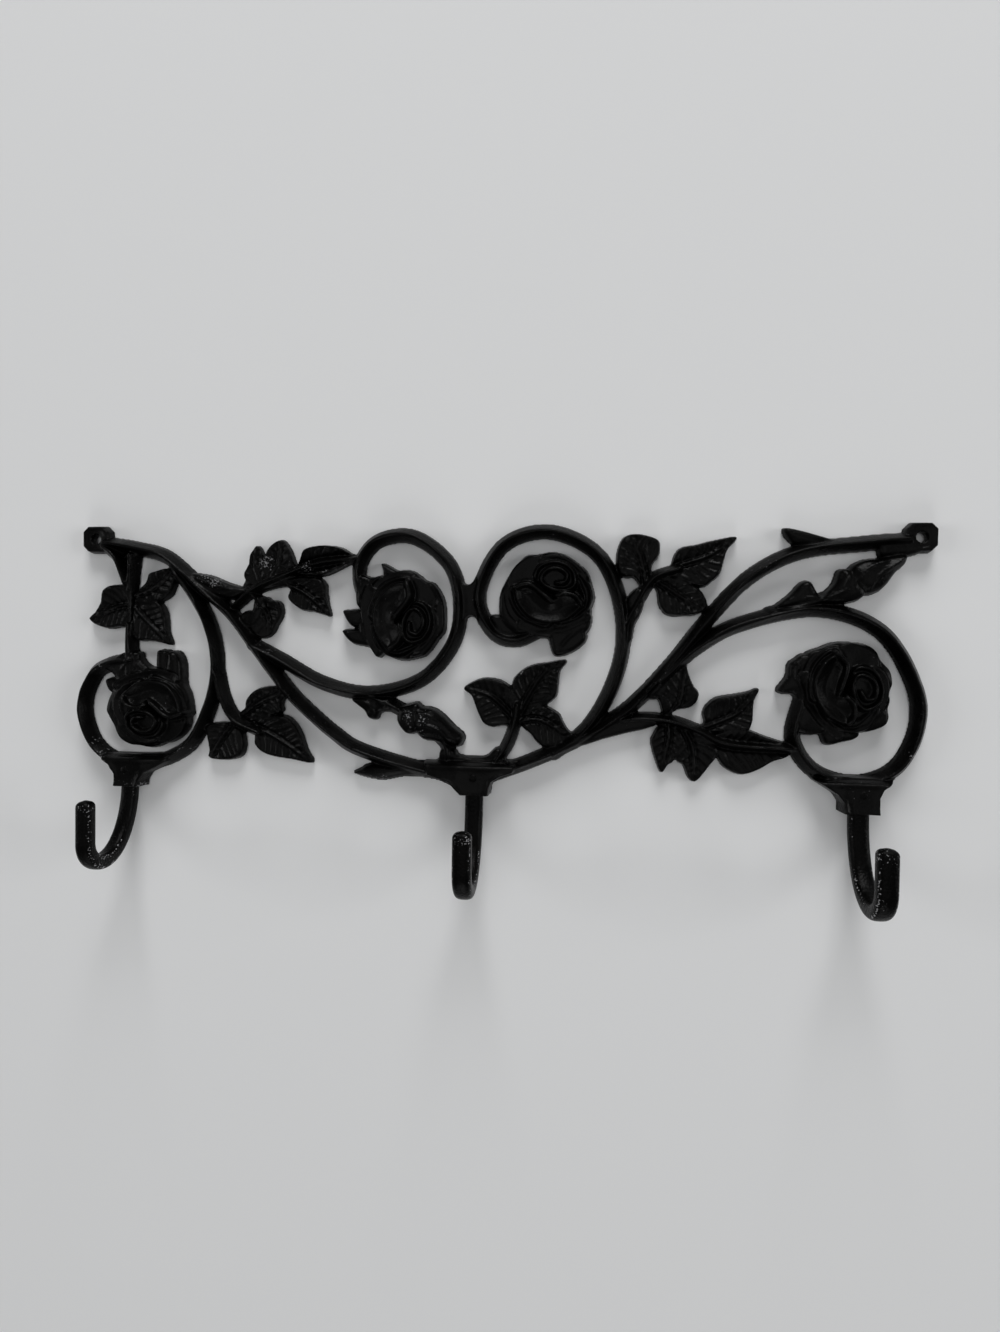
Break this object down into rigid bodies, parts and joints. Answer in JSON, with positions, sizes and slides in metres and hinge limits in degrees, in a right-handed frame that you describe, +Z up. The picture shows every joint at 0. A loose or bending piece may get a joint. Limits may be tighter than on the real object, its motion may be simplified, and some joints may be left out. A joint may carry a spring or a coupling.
{
  "type": "triple wall hook",
  "caption": "Black painted cast iron wall rack of rose scrolls, with bosses below that carry riveted J hooks for coats and bags.",
  "frame": {"origin": "midway between the two wall screw holes, on the flat back that lies against the wall", "axes": "+X along the rack to the right seen from the front, +Z up, +Y into the wall, so the front faces -Y"},
  "size_m": [0.5241, 0.0547, 0.2201],
  "materials": {
    "black_paint": "semi-gloss black paint over sand-cast iron, chipped on the hooks and edges"
  },
  "bodies": {
    "root": {"scroll_panel": "black_paint", "hook_left": "black_paint", "hook_middle": "black_paint", "hook_right": "black_paint", "hook_rivets": "black_paint"}
  },
  "joints": []
}
